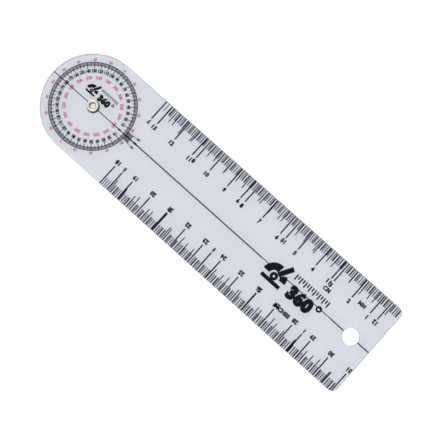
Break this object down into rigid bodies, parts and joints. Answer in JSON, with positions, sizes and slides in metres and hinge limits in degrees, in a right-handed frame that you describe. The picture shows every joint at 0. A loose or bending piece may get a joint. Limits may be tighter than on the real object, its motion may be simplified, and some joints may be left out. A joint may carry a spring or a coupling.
{
  "type": "goniometer",
  "caption": "Clear plastic 360-degree goniometer: two printed ruler arms with a protractor head that turn on a hollow metal eyelet, folded shut.",
  "frame": {"origin": "on the pivot axis, in the printed upper face of the base arm", "axes": "+X along the folded arms from the pivot to their free end, +Y to the base arm's centimetre edge, +Z along the pivot axis out of the printed face to the reader"},
  "size_m": [0.1787, 0.0452, 0.0034],
  "materials": {
    "clear_plastic": "clear flexible PVC sheet with a faint lavender tint, smooth and glossy",
    "eyelet_metal": "pale nickel-brass plating, lightly worn",
    "dark_ink": "dark navy screen-printing ink, satin",
    "pink_ink": "pink screen-printing ink, satin"
  },
  "bodies": {
    "base": {"base_arm": "clear_plastic", "eyelet": "eyelet_metal", "eyelet_washer": "eyelet_metal", "protractor_graduations": "dark_ink", "base_centimetre_graduations": "dark_ink", "base_inch_graduations": "dark_ink", "base_axis_line": "dark_ink"},
    "moving_arm": {"moving_arm": "clear_plastic", "moving_inch_graduations": "dark_ink", "moving_centimetre_graduations": "dark_ink", "moving_axis_line": "dark_ink", "pointer_graduations": "dark_ink"}
  },
  "joints": [
    {"name": "pivot", "type": "hinge", "parent": "base", "child": "moving_arm", "pos_m": [0, 0, 0], "axis": [0, 0, 1], "continuous": true}
  ]
}
